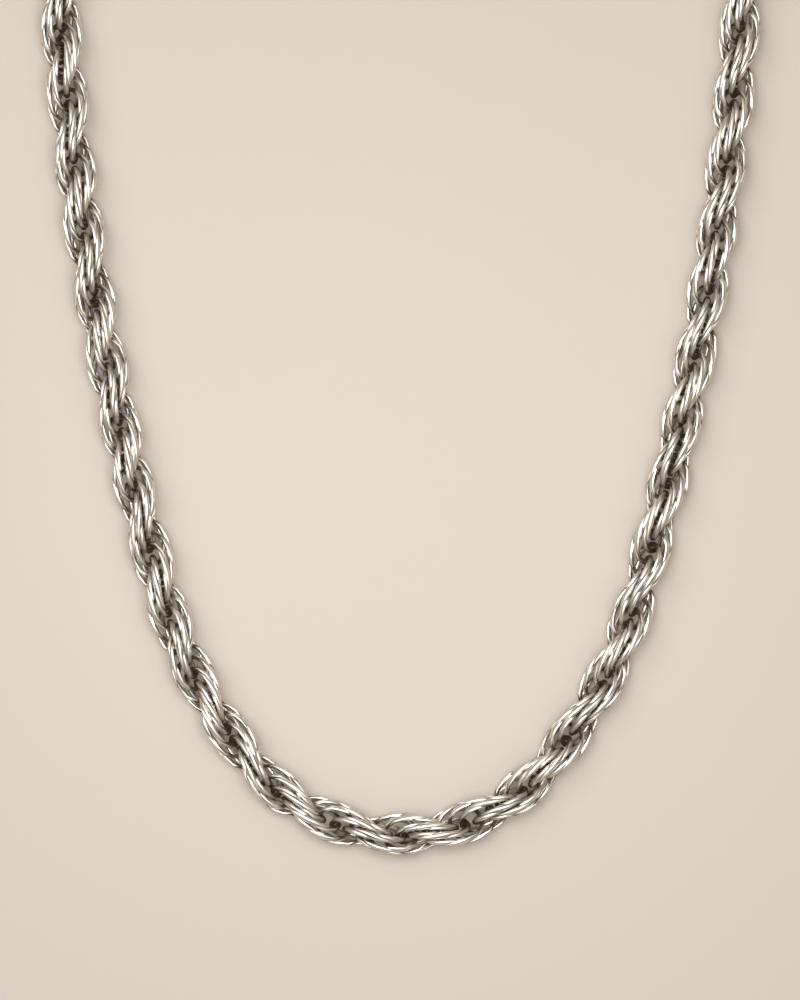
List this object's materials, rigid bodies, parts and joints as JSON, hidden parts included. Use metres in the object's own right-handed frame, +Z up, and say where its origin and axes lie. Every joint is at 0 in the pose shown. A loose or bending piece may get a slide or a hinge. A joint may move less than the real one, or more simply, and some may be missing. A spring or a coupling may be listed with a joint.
{
  "type": "twisted chain necklace",
  "caption": "Silver-coloured twisted rope chain necklace, laid flat in a closed loop with a plain lobster clasp at the back.",
  "frame": {"origin": "on the surface that the necklace lies on, under the middle of the box round the laid loop", "axes": "+X to the picture's right, +Y from the front of the loop to the clasp (up in the picture), +Z up off the surface, towards the picture's camera"},
  "size_m": [0.1058, 0.1846, 0.0061],
  "materials": {
    "link_metal": "bright polished rhodium plate on steel wire",
    "ring_metal": "bright polished rhodium plate on steel wire",
    "clasp_metal": "bright polished rhodium plate on cast steel"
  },
  "bodies": {
    "root": {"chain": "link_metal", "jump_ring_left": "ring_metal", "jump_ring_right": "ring_metal", "clasp": "clasp_metal"}
  },
  "joints": []
}
